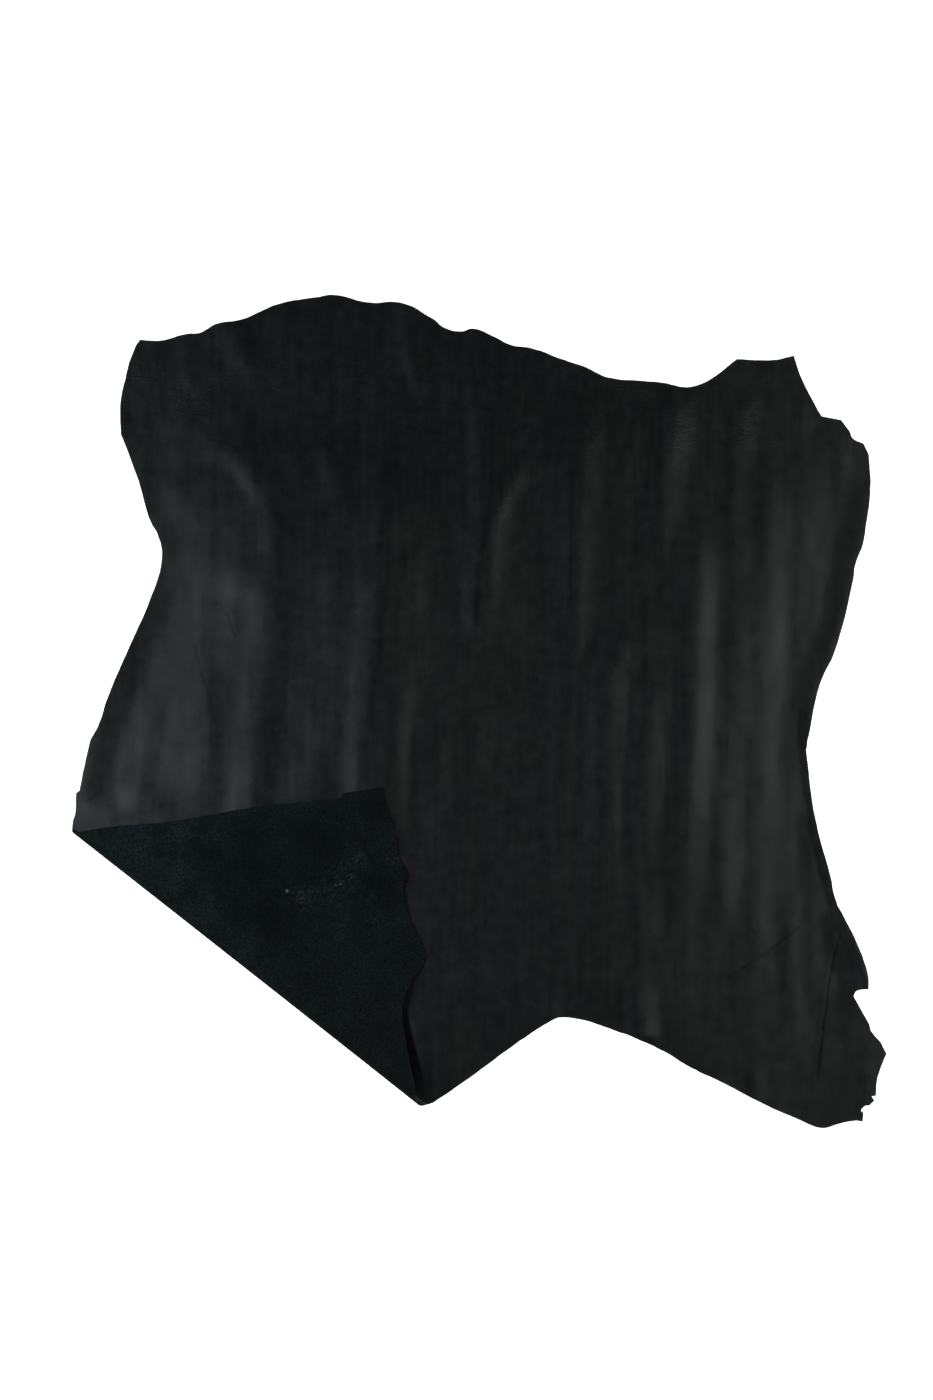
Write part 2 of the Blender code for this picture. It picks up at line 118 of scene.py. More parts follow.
# Waves, in millimetres. A crest runs from its near or left end, and the widths are those of the
# slopes on its left and right hand. It dies away over the two fade lengths at its ends.
Wave = namedtuple("Wave", "name crest height left right fade_in fade_out")
WAVES = (
    Wave("left panel", ((-340, -166), (-319, -61), (-292, 79), (-285, 149), (-288, 233), (-292, 330),
         (-300, 530)), 6.8, 215, 240, 110, 400),
    Wave("left panel's far half", ((-294, 40), (-286, 149), (-287, 233), (-290, 312)),
         4.2, 170, 260, 150, 130),
    Wave("left hem", ((-564, -138), (-553, -75), (-534, -5), (-509, 65), (-492, 112), (-470, 160),
         (-454, 206)), 3.6, 20, 48, 35, 90),
    Wave("second panel", ((-160, -166), (-158, -82), (-152, 2), (-144, 86), (-136, 156), (-134, 240),
         (-134, 310), (-138, 430)), 8, 130, 240, 110, 190),
    Wave("centre", ((-4, 79), (-2, 205), (5, 296), (6, 394), (2, 513)), 3.4, 30, 90, 60, 160),
    Wave("leaning", ((6, 60), (10, 149), (15, 219), (24, 282), (46, 330), (88, 366)),
         1.7, 28, 32, 230, 60),
    Wave("near centre", ((-50, -348), (-38, -264), (-31, -194), (-29, -124)), 1.6, 60, 36, 60, 60),
    Wave("right of centre", ((108, -306), (113, -166), (121, -40), (128, 86), (133, 170), (136, 268),
         (142, 366), (150, 443)), 2.1, 34, 38, 330, 80),
    Wave("hooked", ((170, -306), (174, -138), (174, -40), (171, 37), (181, 72), (208, 92), (246, 99)),
         4.1, 42, 57, 205, 60),
    Wave("short slant", ((218, -244), (222, -124), (227, -61), (232, 0), (234, 50)),
         2.8, 25, 48, 80, 60),
    Wave("far right", ((252, 198), (252, 254), (256, 324), (267, 394), (277, 457)),
         2.6, 32, 42, 90, 40),
    Wave("right plateau", ((284, -270), (290, -124), (293, -12), (297, 128), (302, 226), (309, 338)),
         3.0, 170, 115, 130, 130),
    Wave("first rib", ((280, -400), (284, -250), (290, -124), (295, -12), (301, 128), (307, 226),
         (312, 338)), 2.1, 46, 42, 270, 190),
    Wave("first rib's middle", ((289, -180), (291, -124), (295, -12), (299, 90)), 0.9, 34, 40, 110, 80),
    Wave("low rib", ((333, -380), (338, -264), (343, -166), (351, -12), (364, 128), (364, 226),
         (362, 300)), 1.12, 44, 36, 140, 60),
    Wave("second rib", ((384, -360), (387, -194), (389, -40), (396, 100), (402, 240), (407, 366)),
         1.15, 44, 44, 120, 80),
    Wave("second rib's far half", ((395, 20), (399, 160), (403, 260), (408, 380)),
         1.6, 34, 44, 110, 80),
    Wave("third rib", ((441, 40), (443, 114), (446, 212), (453, 296), (461, 380)),
         1.35, 40, 52, 220, 60),
    Wave("right edge", ((458, -30), (474, 30), (495, 86), (514, 142), (526, 205), (541, 268),
         (541, 338)), 2.2, 38, 24, 60, 50),
    Wave("right hem", ((462, 20), (464, -60), (474, -140), (485, -196), (497, -240), (510, -290),
         (528, -330), (541, -372), (540, -405), (545, -430)), 2.8, 62, 17, 50, 45),
    Wave("far left crease", ((-393, 433), (-401, 457), (-408, 492), (-412, 534)), 1.3, 24, 24, 40, 5),
    Wave("far left corner", ((-308, 453), (-322, 489), (-339, 513), (-352, 552)), 2.0, 34, 30, 40, 5),
    Wave("far crease", ((-64, 436), (-79, 456), (-90, 484), (-97, 520), (-102, 576)),
         2.6, 24, 26, 50, 5),
    Wave("cross wave", ((-55, -390), (1, -376), (71, -370), (169, -373), (225, -365)),
         1.8, 30, 46, 60, 60),
    Wave("near edge", ((226, -463), (219, -404), (219, -327)), 3.4, 26, 38, 5, 115),
    Wave("far middle", ((40, 372), (140, 358), (240, 350), (330, 345)), 3.0, 110, 320, 80, 190),
    Wave("beside the folded corner", ((-66, -530), (-72, -470), (-80, -400), (-84, -340)),
         1.6, 60, 90, 20, 80),
    Wave("the folded corner's hollow", ((-62, -550), (-70, -512), (-81, -470), (-88, -430),
         (-92, -395)), 2.2, 24, 90, 5, 60),
)
RIPPLES = (
    Wave("left panel's inner rise", ((-387, -145), (-384, -40), (-384, 30), (-390, 100)),
         1.2, 110, 31, 30, 100),
    Wave("left panel's outer rise", ((-482, -130), (-471, -60), (-462, 0), (-450, 60)),
         1.3, 100, 30, 30, 80),
    Wave("left panel's near stroke", ((-477, -145), (-471, -96)), 1.6, 44, 62, 15, 28),
    Wave("low rib's far half", ((357, 50), (362, 128), (362, 200), (360, 270)), 0.95, 30, 34, 50, 50),
    Wave("second rib's near half", ((387, -210), (389, -90), (391, -10)), 0.65, 38, 38, 80, 60),
    Wave("left panel's lip", ((-322, -166), (-311, -96), (-298, 16), (-288, 142), (-282, 230)),
         1.9, 48, 32, 10, 50),
    Wave("left panel's near lip", ((-320, -166), (-311, -100), (-303, -40)), 0.6, 40, 30, 10, 60),
    Wave("left panel's round rim", ((-284, 180), (-284, 250), (-299, 313), (-342, 360), (-391, 376),
         (-445, 370)), 3.1, 36, 80, 60, 150),
    Wave("left panel's far rise", ((-318, 190), (-316, 250), (-318, 310), (-330, 375)),
         2.0, 110, 60, 100, 60),
    Wave("left panel's middle rise", ((-326, 145), (-322, 190), (-322, 222)), 0.7, 60, 60, 30, 25),
    Wave("left panel's diagonal", ((-430, 222), (-363, 206), (-318, 172), (-290, 146)),
         0.5, 66, 46, 60, 30),
    Wave("left panel's far streak", ((-416, 246), (-416, 300), (-422, 344)), 1.4, 34, 100, 50, 40),
    Wave("second panel's far rise", ((-205, 150), (-203, 240), (-206, 320), (-210, 400)),
         2.0, 110, 95, 50, 60),
    Wave("second panel's far lip", ((-142, 225), (-133, 290), (-128, 350)), 0.95, 20, 60, 40, 30),
    Wave("second panel's middle rise", ((-236, -40), (-236, 16), (-238, 80)), 0.9, 60, 34, 40, 40),
    Wave("leaning wave's tip", ((20, 262), (34, 305), (60, 345)), 0.7, 20, 22, 25, 25),
    Wave("small hook", ((-204, 289), (-205, 338), (-220, 380)), 1, 22, 26, 30, 20),
    Wave("second panel's low rise", ((-229, -140), (-226, -26)), 1.9, 90, 30, 20, 70),
    Wave("second panel's lip", ((-162, -200), (-159, -96), (-151, 16), (-140, 142), (-134, 268),
         (-136, 350)), 3.1, 42, 90, 20, 90),
    Wave("second panel's near lip", ((-160, -190), (-158, -110), (-154, -40)), 0.9, 36, 60, 20, 60),
    Wave("near the centre", ((-130, -190), (-118, -68), (-112, 16), (-110, 80)), 1.7, 40, 30, 50, 70),
    Wave("beside the centre", ((-58, -190), (-60, -110), (-62, -40), (-60, 20)), 1.7, 36, 30, 50, 100),
    Wave("cross edge", ((-111, 216), (-13, 216)), 0.9, 18, 40, 20, 20),
    Wave("cross edge's side", ((-98, 105), (-96, 160), (-98, 216)), 0.75, 60, 27, 50, 8),
    Wave("slant", ((64, -75), (73, -47), (85, -12), (101, 16)), 0.8, 16, 22, 20, 20),
    Wave("low swell", ((45, -264), (48, -222), (54, -166)), 0.7, 18, 32, 30, 30),
    Wave("slant's far end", ((238, -30), (239, 60), (242, 170)), 1.7, 34, 44, 60, 60),
    Wave("far stroke", ((199, 317), (206, 359), (218, 401)), 0.45, 14, 18, 25, 25),
    Wave("first rib's near half", ((283, -330), (286, -240), (288, -170)), 1.2, 30, 50, 70, 60),
    Wave("low rib's near half", ((338, -310), (341, -230), (344, -165)), 0.6, 44, 34, 50, 40),
    Wave("near hem's tuck", ((384, -550), (386, -520), (390, -490)), 1.0, 16, 28, 5, 32),
    Wave("rib's branch", ((333, -340), (337, -264), (341, -180)), 0.7, 60, 36, 90, 60),
    Wave("far right stroke", ((506, 282), (506, 401)), 0.5, 18, 20, 30, 20),
    Wave("far corner stroke", ((453, 394), (449, 443)), 0.7, 14, 18, 20, 15),
    Wave("far right swell", ((356, 250), (358, 324), (363, 394), (377, 457)), 1.3, 28, 34, 50, 30),
    Wave("near right fall", ((222, -240), (226, -320), (232, -440)), 1.8, 90, 150, 60, 40),
    Wave("torn corner's curl", ((508, -262), (522, -320), (537, -370), (538, -402), (548, -432)),
         3.4, 62, 43, 50, 45),
    Wave("torn corner's dent", ((482, -514), (480, -492), (484, -472)), 0.5, 13, 26, 18, 18),
    Wave("torn corner's rise", ((556, -345), (576, -460), (566, -600)), 4.2, 40, 130, 70, 5),
    Wave("torn corner's far dent", ((492, -340), (497, -300), (503, -272)), 0.8, 16, 14, 20, 20),
    Wave("near right streak", ((275, -500), (284, -400), (290, -330), (296, -270)),
         0.3, 24, 26, 80, 80),
    Wave("near right rise", ((380, -520), (384, -430), (388, -330), (392, -260)), 0.3, 34, 34, 150, 60),
    Wave("near right stroke", ((440, -520), (438, -404), (436, -334), (435, -226)),
         0.7, 26, 30, 60, 60),
    Wave("near right swell", ((474, -440), (472, -404), (472, -334), (470, -264), (468, -200),
         (466, -120)), 1.3, 26, 80, 100, 50),
    Wave("torn corner's bump", ((470, -471), (512, -471)), 0.5, 20, 24, 20, 20),
    Wave("near swell", ((227, -350), (227, -300), (225, -236)), 1, 24, 36, 30, 30),
    Wave("near edge's tuck", ((99, -432), (97, -383)), 1.4, 14, 22, 5, 35),
    Wave("far edge's tuck", ((-211, 534), (-209, 579)), 0.6, 14, 12, 30, 5),
    Wave("far left swell", ((-335, 394), (-356, 443)), 0.7, 24, 28, 25, 25),
    Wave("far left streak", ((-410, 375), (-408, 405), (-412, 432)), 0.7, 44, 34, 30, 30),
    Wave("far left hem", ((-506, 440), (-505, 400), (-488, 360)), 1.2, 26, 12, 40, 30),
)
ROLL_CLEARANCE = 28 * MM     # the folded corner's own waves reach full height this far past the roll
FLAP_WAVES = (               # on the folded corner only
    Wave("lifted side", ((-113, -285), (-110, -250), (-106, -205)), 3, 44, 30, 30, 30),
    Wave("lifted near side", ((-84, -540), (-94, -500), (-104, -455), (-108, -415), (-98, -380),
                              (-80, -345)), 10, 80, 40, 25, 60),
)

# Creases, in millimetres: a narrow groove between two low lips, rubbed smooth in its bottom
Crease = namedtuple("Crease", "path depth groove lips rubbed")
CREASES = (
    Crease(((470, -530), (477, -474), (484, -418), (488, -383), (498, -334), (509, -299)),
         0.2, 3.0, 10, 0.10),
    Crease(((344, -373), (395, -342), (446, -303), (465, -295)), 0.2, 2.4, 9, 0.08),
    Crease(((372, -299), (390, -317)), 0.15, 2.0, 8, 0.06),
    Crease(((-366, -26), (-374, 16), (-384, 44), (-398, 100)), 0.08, 4.0, 12, 0.02),
    Crease(((-338, 100), (-352, 142)), 0.12, 3.0, 9, 0.02),
    Crease(((-384, 380), (-360, 379), (-335, 366)), 0.15, 3.0, 9, 0.04),
    Crease(((-4, 110), (-2, 184), (6, 240), (15, 296), (17, 352), (18, 408), (16, 450)),
         0.06, 6.0, 12, 0.07),
    Crease(((126, 130), (127, 184), (128, 240), (129, 296), (134, 352)), 0.06, 5.0, 11, 0.06),
    Crease(((-158, -60), (-150, 16), (-141, 72), (-134, 128), (-128, 184), (-124, 240), (-125, 310)),
         0.06, 6.0, 12, 0.04),
)
CREASE_ROWS = (-1.0, -0.5, 0.0, 0.5, 1.0)    # rows of points across a groove, in its half widths
CREASE_STEP = 4 * MM                          # from point to point along a groove
CREASE_ENDS = 8.0                             # a crease dies away over one part in this many, each end

FRAY_SEED = 5                # fixes how the cut edge wanders: unset, it would differ on every run
FRAY_LENGTH = 9 * MM         # from one wander of the cut edge to the next

MERGE_DISTANCE = 1e-7        # mesh points closer than this become one
SHARP_ANGLE = radians(50)    # shading breaks where faces meet at more than this

# Room that the mesh's even grid leaves round the rows of points laid for finer parts
EDGE_ROOM = 0.45             # round the cut edge, in steps across the waves
CREASE_ROOM = 0.6            # round a crease's rows, in steps along a groove
ROLL_ROOM = (-1.9, 3.3)      # before and past the fold's line, in radii of the roll


def length_setting(name, description, default, low, high):
    return FloatProperty(
        name=name, description=description, default=default, min=low, max=high,
        precision=4, unit="LENGTH")


def colour_setting(name, description, default):
    return FloatVectorProperty(
        name=name, description=description, default=default, min=0.0, max=1.0, subtype="COLOR")


class HideShape(bpy.types.PropertyGroup):
    """Sizes of the hide as it lies."""

    leather: length_setting("Leather", "Thickness of the finished hide", 1.3 * MM, 0.6 * MM, 3 * MM)
    layer_gap: length_setting(
        "Layer gap", "Air between the two layers where the corner lies on the hide",
        1.2 * MM, 0.3 * MM, 5 * MM)
    pressed: length_setting(
        "Pressed", "The waves lie flat within this distance of the fold", 45 * MM, 20 * MM, 200 * MM)
    sway: length_setting(
        "Sway", "Height of the faint unevenness all over the hide", 0.5 * MM, 0.0, 2 * MM)
    sway_length: length_setting(
        "Sway length", "From one faint swell to the next", 45 * MM, 20 * MM, 300 * MM)
    fray: length_setting(
        "Fray", "How far the cut edge wanders from its curve", 0.6 * MM, 0.0, 2 * MM)
    across_waves: length_setting(
        "Mesh across", "Mesh spacing along X, across most of the waves", 4.3 * MM, 3 * MM, 30 * MM)
    along_waves: length_setting("Mesh along", "Mesh spacing along Y", 6.6 * MM, 3 * MM, 40 * MM)
    along_fold: length_setting(
        "Mesh along fold", "Mesh spacing along the fold", 5 * MM, 3 * MM, 40 * MM)
    roll_facets: IntProperty(
        name="Roll facets", description="Facets round the roll's half turn", default=14, min=6, max=32)
    curve_facets: IntProperty(
        name="Edge facets", description="Facets from one landmark of the edge to the next",
        default=6, min=2, max=12)


class HideFinish(bpy.types.PropertyGroup):
    """Colours and texture of the leather."""

    grain_colour: colour_setting(
        "Grain side", "Dyed and finished grain side", (0.0028, 0.0032, 0.0034))
    flesh_colour: colour_setting("Flesh side", "Dyed, napped flesh side", (0.0025, 0.0038, 0.0040))
    green_colour: colour_setting(
        "Flesh side, green", "Greener patches of the flesh side", (0.0026, 0.0069, 0.0063))
    blue_colour: colour_setting(
        "Flesh side, blue", "Bluer patches of the flesh side", (0.0052, 0.0082, 0.0102))
    deep_colour: colour_setting(
        "Flesh side, deep", "Deeply dyed patches of the flesh side", (0.0002, 0.0012, 0.0014))
    scuff_colour: colour_setting("Scuffs", "Pale scuffed fibres", (0.024, 0.027, 0.028))
    nick_colour: colour_setting("Nick", "Undyed fibres in one small nick", (0.07, 0.085, 0.085))
    worn_colour: colour_setting("Worn edge", "Rubbed rim of the grain side", (0.012, 0.012, 0.010))
    edge_colour: colour_setting("Cut edge", "Dyed fibres in the cut edge", (0.014, 0.013, 0.010))
    pebble: length_setting(
        "Pebble", "Size of one pebble of the grain", 1.3 * MM, 0.4 * MM, 5 * MM)
    nap: length_setting(
        "Nap", "Width of one tuft of the flesh side's nap", 2.5 * MM, 0.5 * MM, 8 * MM)


class HideStage(bpy.types.PropertyGroup):
    """Floor, light and camera."""

    floor_colour: colour_setting("Floor", "Plain pale floor", (0.85, 0.85, 0.85))
    floor_size: length_setting("Floor size", "Side of the square floor", 40.0, 3.0, 100.0)
    floor_glow: FloatProperty(
        name="Floor glow", description="Light that the floor gives out, so that it stays white",
        default=1.0, min=0.0, max=2.0)
    left_power: FloatProperty(
        name="Left light", description="Power of the soft light on the left", default=50.0, min=0.0)
    right_power: FloatProperty(
        name="Right light", description="Power of the soft light on the right", default=44.0, min=0.0)
    wall_light: FloatProperty(
        name="Walls", description="Soft light that comes from all round, low down",
        default=0.6, min=0.0, max=2.0)
    ceiling_light: FloatProperty(
        name="Ceiling", description="Soft light that comes from above", default=0.03, min=0.0, max=2.0)
    camera_height: length_setting(
        "Camera height", "From the floor straight up to the camera", 3.2, 1.0, 10.0)
    view_length: length_setting(
        "View length", "Length of floor along Y that the camera sees", 1.96, 0.5, 5.0)


# ---- shape ---------------------------------------------------------------------------------------

def ease(share):
    """0 to 1 with a level start and a level end."""
    share = np.clip(share, 0.0, 1.0)
    return share * share * (3.0 - 2.0 * share)


def slope(share, foot=0.35, top=0.3):
    """0 to 1 in one even slope that is rounded at its foot and at its top."""
    share = np.clip(share, 0.0, 1.0)
    low = np.minimum(share, foot) ** 2 / (2.0 * foot)
    middle = np.clip(share - foot, 0.0, 1.0 - foot - top)
    left_over = np.clip(share - 1.0 + top, 0.0, top)
    high = left_over - left_over ** 2 / (2.0 * top)
    return (low + middle + high) / (1.0 - 0.5 * (foot + top))


def soft_curve(points, steps=5):
    """Points along a smooth curve through the given ones."""
    knots = [Vector(point) for point in points]
    before = [knots[0]] + knots[:-1]
    after = knots[1:] + [knots[-1]]
    pull = [(b - a) / 6 for a, b in zip(before, after)]
    curve = [knots[0]]
    for i in range(len(knots) - 1):
        start, end = knots[i], knots[i + 1]
        curve += interpolate_bezier(start, start + pull[i], end - pull[i + 1], end, steps + 1)[1:]
    return np.array([point[:2] for point in curve])


def in_metres(path):
    return [(x * MM, y * MM, 0.0) for x, y in path]


def follow(path, places):
    """Each place's distance aside from a path, negative on its left hand, and travel along it."""
    steps = np.diff(path, axis=0)
    lengths = np.hypot(steps[:, 0], steps[:, 1])
    travelled = np.concatenate(([0.0], np.cumsum(lengths)))
    nearest = np.full(len(places), np.inf)
    aside = np.zeros(len(places))
    along = np.zeros(len(places))
    for start, step, length, run in zip(path, steps, lengths, travelled):
        offset = places - start
        share = np.clip((offset @ step) / length ** 2, 0.0, 1.0)
        gap = offset - share[:, None] * step
        distance = np.hypot(gap[:, 0], gap[:, 1])
        closer = distance < nearest
        hand = np.sign(step[1] * offset[:, 0] - step[0] * offset[:, 1])
        nearest = np.where(closer, distance, nearest)
        aside = np.where(closer, distance * hand, aside)
        along = np.where(closer, run + share * length, along)
    return aside, along, travelled[-1]


def wave_height(wave, places):
    """How high one wave lifts each place, in metres."""
    aside, along, length = follow(soft_curve(in_metres(wave.crest)), places)
    width = np.where(aside < 0, wave.left, wave.right) * MM
    ends = ease(along / (wave.fade_in * MM)) * ease((length - along) / (wave.fade_out * MM))
    return wave.height * MM * slope(1.0 - np.abs(aside) / width) * ends


def along_crease(crease, places):
    """Each place's distance from a crease, and 1 along it but dying away to 0 at its ends."""
    aside, along, length = follow(soft_curve(in_metres(crease.path)), places)
    ends = ease(CREASE_ENDS * along / length) * ease(CREASE_ENDS * (length - along) / length)
    return np.abs(aside), ends


def crease_height(crease, places):
    """The two low lips of one crease, with the groove between them."""
    away, ends = along_crease(crease, places)
    lips = ease(1.0 - away / (crease.lips * MM)) - ease(1.0 - away / (crease.groove * MM))
    return crease.depth * MM * lips * ends


def crease_rub(places):
    """How much smoother the finish is: most in the bottom of a crease, nothing outside it."""
    share = np.zeros(len(places))
    for crease in CREASES:
        away, ends = along_crease(crease, places)
        bottom = ease(1.0 - away / (1.2 * crease.groove * MM))
        share = np.maximum(share, crease.rubbed * bottom * ends)
    return share


def sway_height(shape, places):
    """Faint unevenness of the whole hide, never below the surface it lies on."""
    scale = 1.0 / shape.sway_length
    broad = [noise.noise((x * scale, y * scale * 0.3, 2.0)) for x, y in places]
    small = [noise.noise((x * scale * 2.3, y * scale * 1.1, 5.0)) for x, y in places]
    swell = np.array(broad) + 0.3 * np.array(small)
    return shape.sway * (0.7 + swell).clip(0.0)


class Fold:
    """The straight fold: where a place is along it and past it, and the roll's size there."""

    def __init__(self):
        start = np.array(FOLD_START) * MM
        end = np.array(FOLD_END) * MM
        self.start = start
        self.length = np.hypot(*(end - start))
        self.along = (end - start) / self.length
        self.out = np.array([self.along[1], -self.along[0]])

    def measure(self, places):
        offset = places - self.start
        return offset @ self.along, offset @ self.out

    def place(self, along, past):
        return self.start + np.outer(along, self.along) + np.outer(past, self.out)

    def roll(self, along):
        shares = [row.along * self.length for row in ROLLS]
        radius = np.interp(along, shares, [row.radius * MM for row in ROLLS])
        settle = np.interp(along, shares, [row.settle * MM for row in ROLLS])
        return radius, settle

    def unfold(self, places):
        """The flat place of a point on the folded corner, from its place as it lies."""
        along, past = self.measure(places)
        radius = self.roll(along)[0]
        return self.place(along, -past + (np.pi - 2.0) * radius)


def lay(shape, fold, flat):
    """Each point of the flat hide as it lies: in plan, and its height on the flesh side."""
    along, past = fold.measure(flat)
    radius, settle = fold.roll(along)
    turned = (past + radius) / radius
    over = past - (np.pi - 1.0) * radius
    in_roll = (turned > 0) & (turned < np.pi)
    on_top = over >= 0
    laid_past = np.where(in_roll, radius * (np.sin(turned) - 1.0), past)
    laid_past = np.where(on_top, -radius - over, laid_past)
    plan = fold.place(along, laid_past)
    waves = sum(wave_height(wave, plan) for wave in WAVES + RIPPLES)
    waves += sum(crease_height(crease, plan) for crease in CREASES)
    waves += sway_height(shape, plan)
    waves = waves * ease((-laid_past - radius) / shape.pressed)
    resting = 2.0 * shape.leather + shape.layer_gap
    folded = waves + resting + (2.0 * radius - resting) * (1.0 - ease(over / settle))
    folded += ease(over / ROLL_CLEARANCE) * sum(wave_height(wave, plan) for wave in FLAP_WAVES)
    height = np.where(in_roll, radius * (1.0 - np.cos(turned)), waves)
    height = np.where(on_top, folded, height)
    return np.column_stack((plan, height))


def cut_outline(shape, fold):
    """The flat hide's edge as points in anticlockwise order, from a curve through the landmarks."""
    landmarks = []
    for run in (FAR_EDGE, RIGHT_SIDE, NEAR_EDGE, FOLDED_EDGE, LEFT_SIDE):
        for landmark in (Landmark(*row) for row in run):
            place = np.array([[landmark.x, landmark.y]]) * MM
            if run is FOLDED_EDGE:
                place = fold.unfold(place)
            landmarks.append((place[0], landmark.corner))
    curve = bpy.data.curves.new("cut edge", "CURVE")
    curve.dimensions = "2D"
    curve.fill_mode = "NONE"
    curve.resolution_u = shape.curve_facets
    spline = curve.splines.new("BEZIER")
    spline.bezier_points.add(len(landmarks) - 1)
    spline.use_cyclic_u = True
    for point, (place, corner) in zip(spline.bezier_points, landmarks):
        point.co = (*place, 0.0)
        point.handle_left_type = "VECTOR" if corner else "AUTO"
        point.handle_right_type = "VECTOR" if corner else "AUTO"
    guide = bpy.data.objects.new("cut edge", curve)
    bpy.context.scene.collection.objects.link(guide)
    bpy.context.view_layer.update()
    mesh = bpy.data.meshes.new_from_object(guide.evaluated_get(bpy.context.evaluated_depsgraph_get()))
    points = [vertex.co.copy() for vertex in mesh.vertices][::-1]
    bpy.data.objects.remove(guide)
    bpy.data.curves.remove(curve)
    bpy.data.meshes.remove(mesh)
    noise.seed_set(FRAY_SEED)
    frayed = [point + shape.fray * noise.noise_vector(point / FRAY_LENGTH) for point in points]
    return np.array([point[:2] for point in frayed])


def gaps_to(points, places):
    """Distance from each place to the nearest of the points."""
    tree = KDTree(len(points))
    for number, point in enumerate(points):
        tree.insert((*point, 0.0), number)
    tree.balance()
    return np.array([tree.find((*place, 0.0))[2] for place in places])


def dense(outline, steps=4):
    """The outline with extra points between its own."""
    after = np.roll(outline, -1, axis=0)
    return np.concatenate([outline + (after - outline) * step / steps for step in range(steps)])


def staggered_grid(shape, outline):
    """Even points over the outline's box, every second row shifted by half a step."""
    low, high = outline.min(axis=0), outline.max(axis=0)
    rows = np.arange(low[1], high[1], shape.along_waves)
    columns = np.arange(low[0], high[0], shape.across_waves)
    shift = 0.5 * shape.across_waves
    return np.array([(x + shift * (number % 2), y) for number, y in enumerate(rows) for x in columns])


def roll_rows(shape, fold):
    """Rows of points along the fold, one for each facet of the roll and some beside it each way."""
    along = np.arange(-0.03 * fold.length, 1.03 * fold.length, shape.along_fold)
    radius = fold.roll(along)[0]
    arc = np.pi * radius / shape.roll_facets
    last = shape.roll_facets
    steps = [-5.0, -3.0, -1.5, *range(last + 1), last + 2, last + 5]
    return [fold.place(along, -radius + step * arc) for step in steps]


def crease_rows(crease):
    """Rows of points along a crease, close enough together for its groove."""
    path = soft_curve(in_metres(crease.path))
    lengths = np.hypot(*np.diff(path, axis=0).T)
    travelled = np.concatenate(([0.0], np.cumsum(lengths)))
    stops = np.linspace(0.0, travelled[-1], round(travelled[-1] / CREASE_STEP) + 1)
    middle = np.column_stack([np.interp(stops, travelled, path[:, axis]) for axis in (0, 1)])
    ahead = np.gradient(middle, axis=0)
    ahead /= np.hypot(*ahead.T)[:, None]
    aside = np.column_stack((ahead[:, 1], -ahead[:, 0]))
    return [middle + row * crease.groove * MM * aside for row in CREASE_ROWS]


def flat_sheet(shape, fold):
    """The flat hide as a mesh: its points, its triangles, and its outline."""
    outline = cut_outline(shape, fold)
    rows = roll_rows(shape, fold)
    grid = staggered_grid(shape, outline)
    past = fold.measure(grid)[1]
    radius = fold.roll(fold.measure(grid)[0])[0]
    grid = grid[(past < ROLL_ROOM[0] * radius) | (past > ROLL_ROOM[1] * radius)]
    grid = grid[gaps_to(dense(outline), grid) > EDGE_ROOM * shape.across_waves]
    grooves = [row for crease in CREASES for row in crease_rows(crease)]
    grid = grid[gaps_to(np.concatenate(grooves), grid) > CREASE_ROOM * CREASE_STEP]
    points = list(outline)
    edges = [(i, (i + 1) % len(outline)) for i in range(len(outline))]
    for row in rows + grooves:
        first = len(points)
        points += list(row)
        edges += [(first + i, first + i + 1) for i in range(len(row) - 1)]
    points += list(grid)
    face = list(range(len(outline)))
    made = delaunay_2d_cdt([Vector(point) for point in points], edges, [face], 0, MERGE_DISTANCE)
    places = np.array([place[:] for place in made[0]])
    triangles = np.array([triangle for triangle, source in zip(made[2], made[5]) if source])
    used = np.unique(triangles)
    number = np.zeros(len(places), dtype=int)
    number[used] = np.arange(len(used))
    return places[used], number[triangles], outline


# ---- materials -----------------------------------------------------------------------------------

# Marks on the flesh side of the folded corner: x, y and reach in millimetres
SHADED_PATCHES = (
    (-225, -196, 80), (-140, -240, 50), (-150, -128, 50), (-330, -215, 85), (-285, -290, 60),
)
SCUFFS = (
    (-172, -206, 24), (-207, -240, 28), (-250, -262, 24), (-185, -232, 22), (-118, -205, 16),
)
NICK = (-269, -251, 3.2)


def put(tree, kind, inputs=None, **settings):
    """One node, with its settings and with each input set to a value or joined to an output."""
    node = tree.nodes.new(kind)
    for name, value in settings.items():
        setattr(node, name, value)
    for socket, value in (inputs or {}).items():
        if isinstance(value, bpy.types.NodeSocket):
            tree.links.new(value, node.inputs[socket])
        else:
            node.inputs[socket].default_value = value
    return node


def maths(tree, operation, first, second=0.0, third=0.0):
    inputs = {0: first, 1: second, 2: third}
    return put(tree, "ShaderNodeMath", inputs, operation=operation).outputs[0]


def between(tree, value, low, high, low_out=0.0, high_out=1.0):
    """value moved from low..high to low_out..high_out, and held inside it."""
    inputs = {"Value": value, "From Min": low, "From Max": high, "To Min": low_out, "To Max": high_out}
    return put(tree, "ShaderNodeMapRange", inputs).outputs["Result"]


def blend_colours(tree, share, first, second):
    inputs = {0: share, 6: first, 7: second}
    return put(tree, "ShaderNodeMix", inputs, data_type="RGBA").outputs[2]


def clouded(tree, place, scale, detail, **inputs):
    """A noise texture's value."""
    sockets = {"Vector": place, "Scale": scale, "Detail": detail, **inputs}
    return put(tree, "ShaderNodeTexNoise", sockets).outputs["Fac"]


def scaled(tree, colour, factor):
    """A colour times a number."""
    inputs = {0: colour, "Scale": factor}
    return put(tree, "ShaderNodeVectorMath", inputs, operation="SCALE").outputs[0]


def shifted(tree, place, offset):
    """The same place moved, so that a texture differs from the others."""
    return put(tree, "ShaderNodeVectorMath", {0: place, 1: offset}, operation="ADD").outputs[0]


